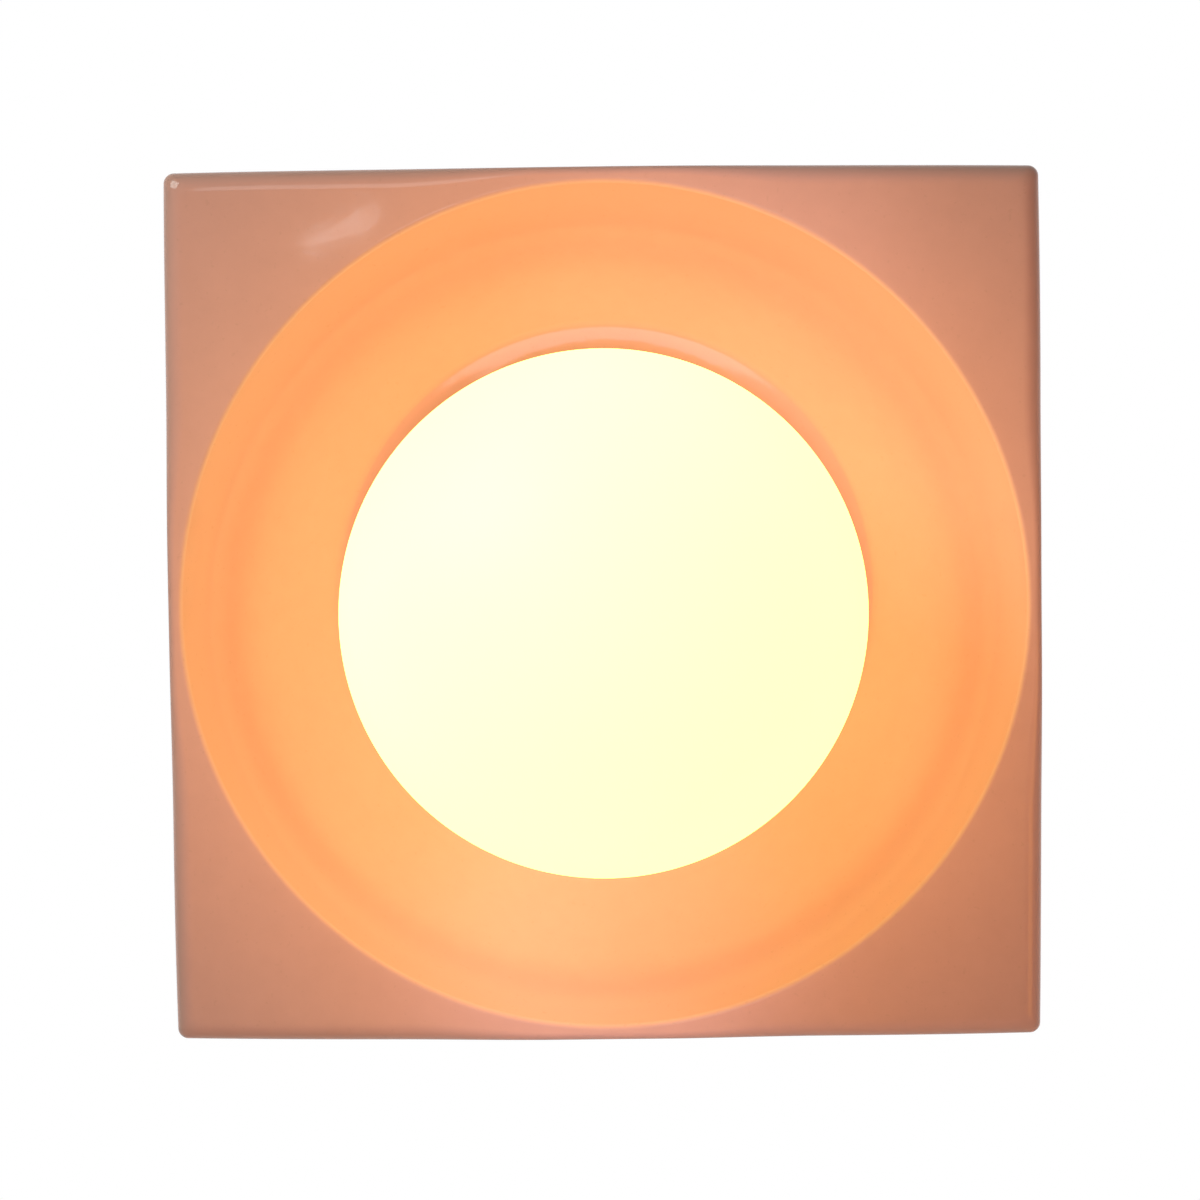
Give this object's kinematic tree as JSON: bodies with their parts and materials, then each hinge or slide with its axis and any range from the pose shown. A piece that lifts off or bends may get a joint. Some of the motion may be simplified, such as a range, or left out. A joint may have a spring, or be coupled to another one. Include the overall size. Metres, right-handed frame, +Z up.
{
  "type": "cube wall sconce",
  "caption": "Square glazed ceramic wall light with a round dished front, a screw-in opal globe lamp and a lampholder on a steel wall plate inside.",
  "frame": {"origin": "middle of the wall plate's back face, on the wall and on the lamp's axis", "axes": "+Y into the wall, +Z up, +X to the right as seen from the front"},
  "size_m": [0.203, 0.282, 0.203],
  "materials": {
    "terracotta_glaze": "glossy glaze",
    "foam": "closed-cell foam",
    "zinc_steel": "bright zinc plate",
    "black_rubber": "moulded rubber",
    "fibre": "red fibre sheet",
    "matching_paint": "enamel in the glaze's colour",
    "nickel": "nickel plate",
    "silicone": "matt silicone",
    "porcelain": "white glaze",
    "brass": "bright brass",
    "nylon": "moulded nylon",
    "brown_insulation": "silicone insulation",
    "blue_insulation": "silicone insulation",
    "green_insulation": "green and yellow insulation",
    "opal_glass": "opal, lit",
    "clear_glass": "clear",
    "led_phosphor": "phosphor coat",
    "support_wire": "drawn wire",
    "circuit_board": "solder mask",
    "black_glass": "fused glass",
    "solder": "soft solder"
  },
  "bodies": {
    "fixture": {"ceramic_body": "terracotta_glaze", "wall_gasket": "foam", "wall_plate": "zinc_steel", "body_studs": "zinc_steel", "holder_bracket": "zinc_steel", "bracket_screws": "zinc_steel", "holder_screws": "zinc_steel", "block_fixing_screw": "zinc_steel", "earth_screw": "zinc_steel", "block_screws": "zinc_steel", "cable_grommet": "black_rubber", "floor_seal_washers": "fibre", "floor_washers": "matching_paint", "sleeve_nuts": "matching_paint", "screw_shell": "nickel", "neck_seal": "silicone", "holder_body": "porcelain", "centre_contact": "brass", "holder_terminals": "brass", "holder_terminal_screws": "brass", "block_barrels": "brass", "earth_lug": "brass", "terminal_block": "nylon", "live_lead": "brown_insulation", "neutral_lead": "blue_insulation", "earth_lead": "green_insulation"},
    "lamp_tip": {"cap_insulator": "black_glass", "cap_contact": "solder"},
    "lamp": {"lamp_globe": "opal_glass", "lamp_stem": "clear_glass", "led_filaments": "led_phosphor", "filament_wires": "support_wire", "driver_board": "circuit_board", "lamp_cap": "nickel"}
  },
  "joints": [
    {"name": "lamp_advance", "type": "slide", "parent": "fixture", "child": "lamp_tip", "axis": [0, -1, 0], "range_m": [0, 0.01816]},
    {"name": "lamp_turn", "type": "hinge", "parent": "lamp_tip", "child": "lamp", "pos_m": [0, -0.222, 0], "axis": [0, -1, 0], "range_deg": [0, 1800]}
  ],
  "couplings": [
    {"joint": "lamp_advance", "follows": "lamp_turn", "m_per_rad": 0.00057757}
  ]
}
